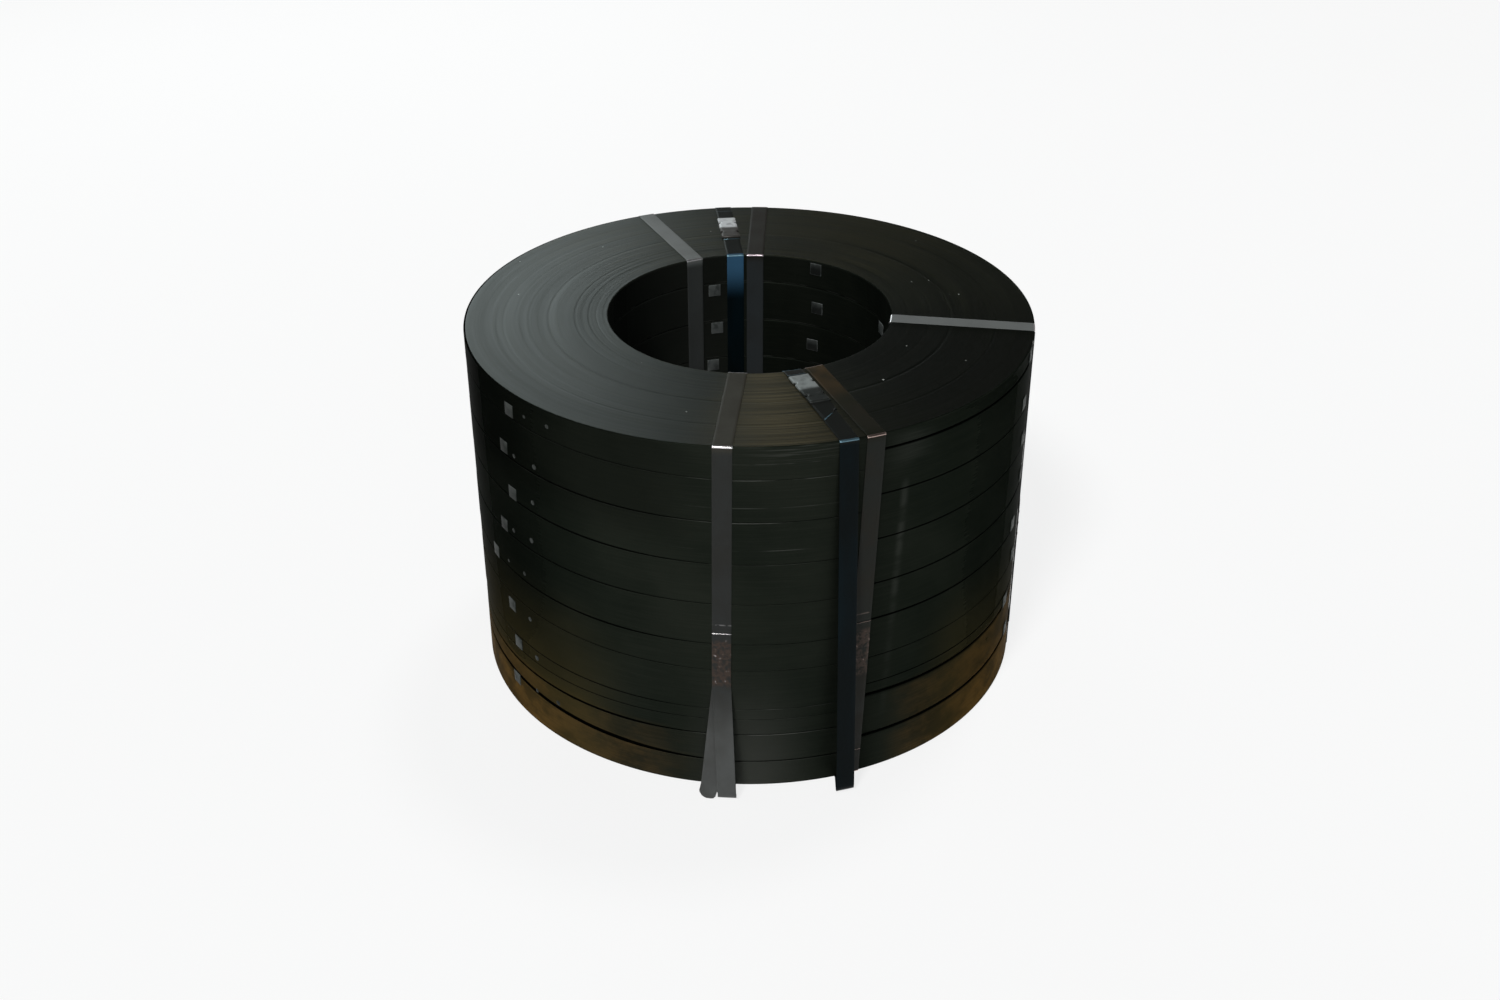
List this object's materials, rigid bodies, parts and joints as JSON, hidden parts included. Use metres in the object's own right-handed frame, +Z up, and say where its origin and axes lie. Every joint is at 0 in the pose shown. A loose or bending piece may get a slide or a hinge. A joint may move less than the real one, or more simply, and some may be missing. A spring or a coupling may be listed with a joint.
{
  "type": "steel strip coil",
  "caption": "Thick ring of narrow black steel strip wound in laps, standing on one end, tied round its section with grey and blue steel straps and crimped seals.",
  "frame": {"origin": "on the bore's axis, level with the coil's lower end face; the ties reach 0.65 mm lower", "axes": "+Z up along the bore's axis, -Y towards the front, where the slack ties are, +X to the right"},
  "size_m": [0.601, 0.6283, 0.3991],
  "materials": {
    "black_strip": "black lacquered strip, satin gloss, streaky on the end faces",
    "grey_tie": "dull grey strapping with rust at the welds",
    "blue_tie": "dark blue lacquered strapping, glossy",
    "seal": "bright zinc-coated sheet, crimped",
    "tab": "bare bright steel"
  },
  "bodies": {
    "root": {"strip_coil": "black_strip", "front_tie": "grey_tie", "front_blue_tie": "blue_tie", "front_right_tie": "grey_tie", "right_tie": "grey_tie", "back_left_tie": "grey_tie", "back_blue_tie": "blue_tie", "back_tie": "grey_tie", "front_seal": "seal", "back_seal": "seal", "outside_lap_tabs": "tab", "bore_lap_tabs": "tab"}
  },
  "joints": []
}
